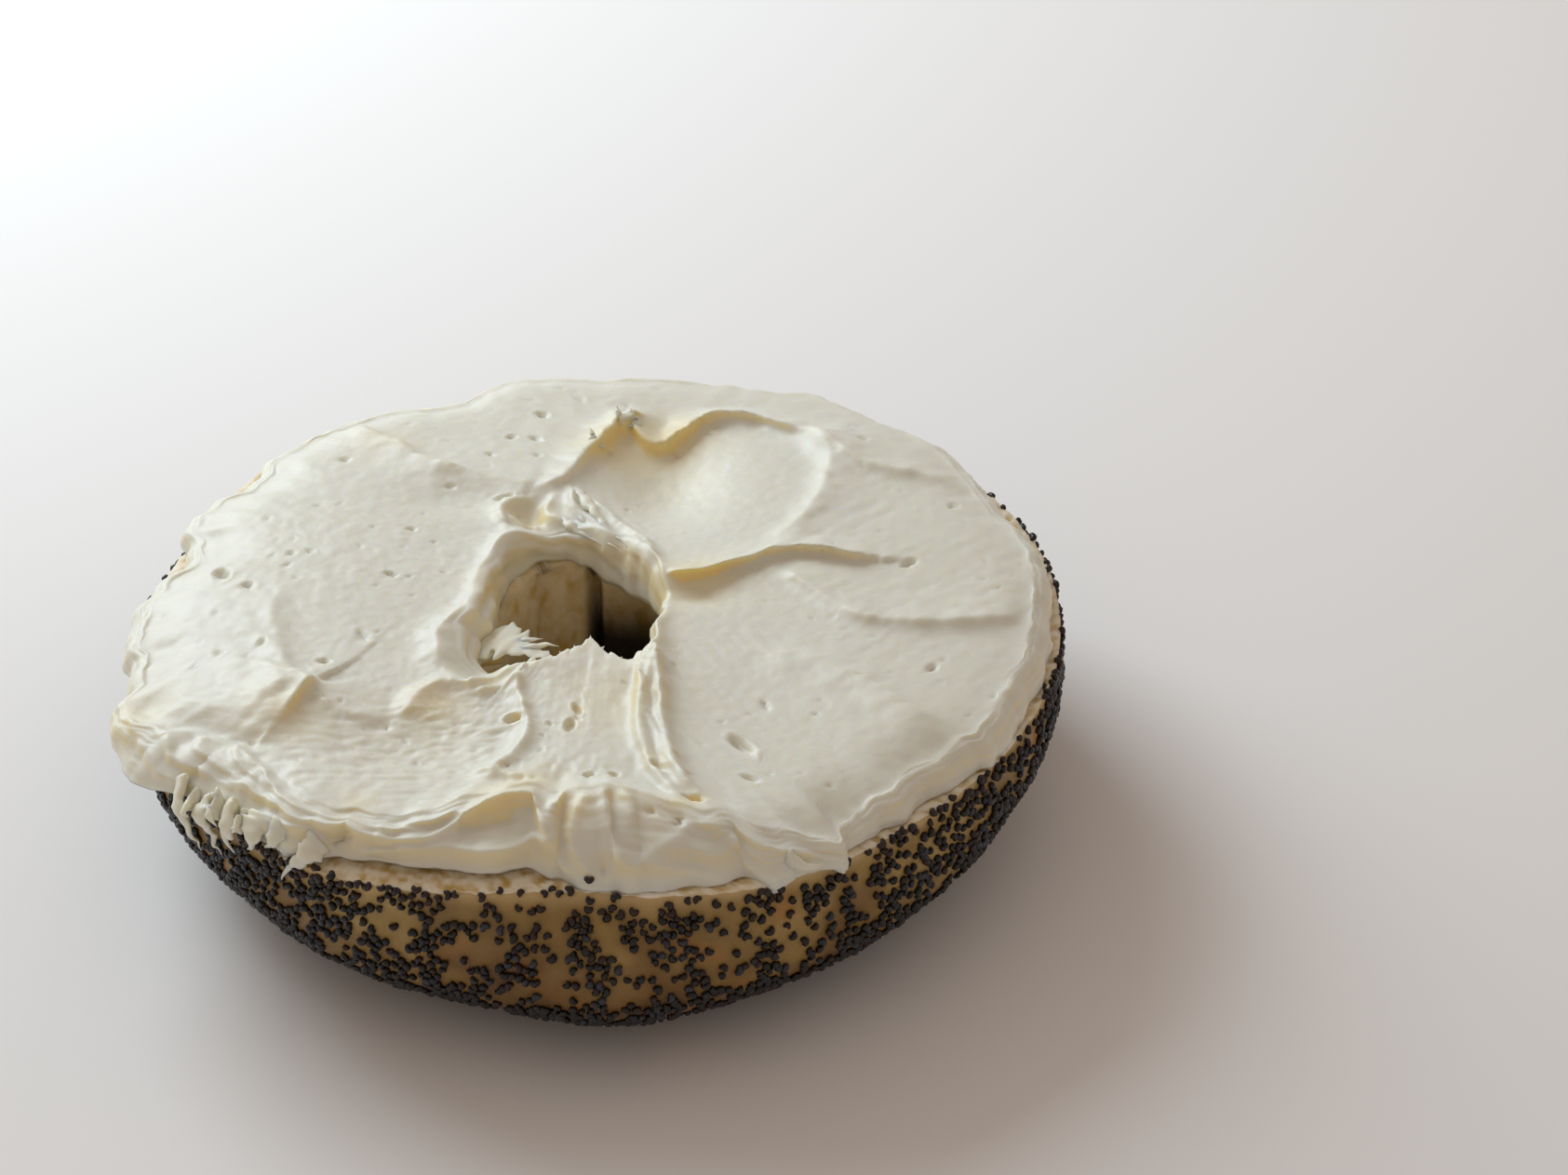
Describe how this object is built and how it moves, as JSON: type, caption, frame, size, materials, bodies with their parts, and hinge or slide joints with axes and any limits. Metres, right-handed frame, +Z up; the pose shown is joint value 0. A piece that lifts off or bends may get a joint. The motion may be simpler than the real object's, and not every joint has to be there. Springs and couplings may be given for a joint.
{
  "type": "bagel half with cream cheese",
  "caption": "Half of a sliced poppy-seed bagel lying on its crust, its cut face spread thickly and unevenly with cream cheese, open at the hole.",
  "frame": {"origin": "middle of the outline seen from above, at the foot of the crust", "axes": "+Z up, out of the cut face; -Y toward the side with the high lip of spread"},
  "size_m": [0.1132, 0.1158, 0.0326],
  "materials": {
    "crust": "matt baked crust",
    "spread": "soft satin"
  },
  "bodies": {
    "root": {"bread": "crust", "cream_cheese": "spread"}
  },
  "joints": []
}
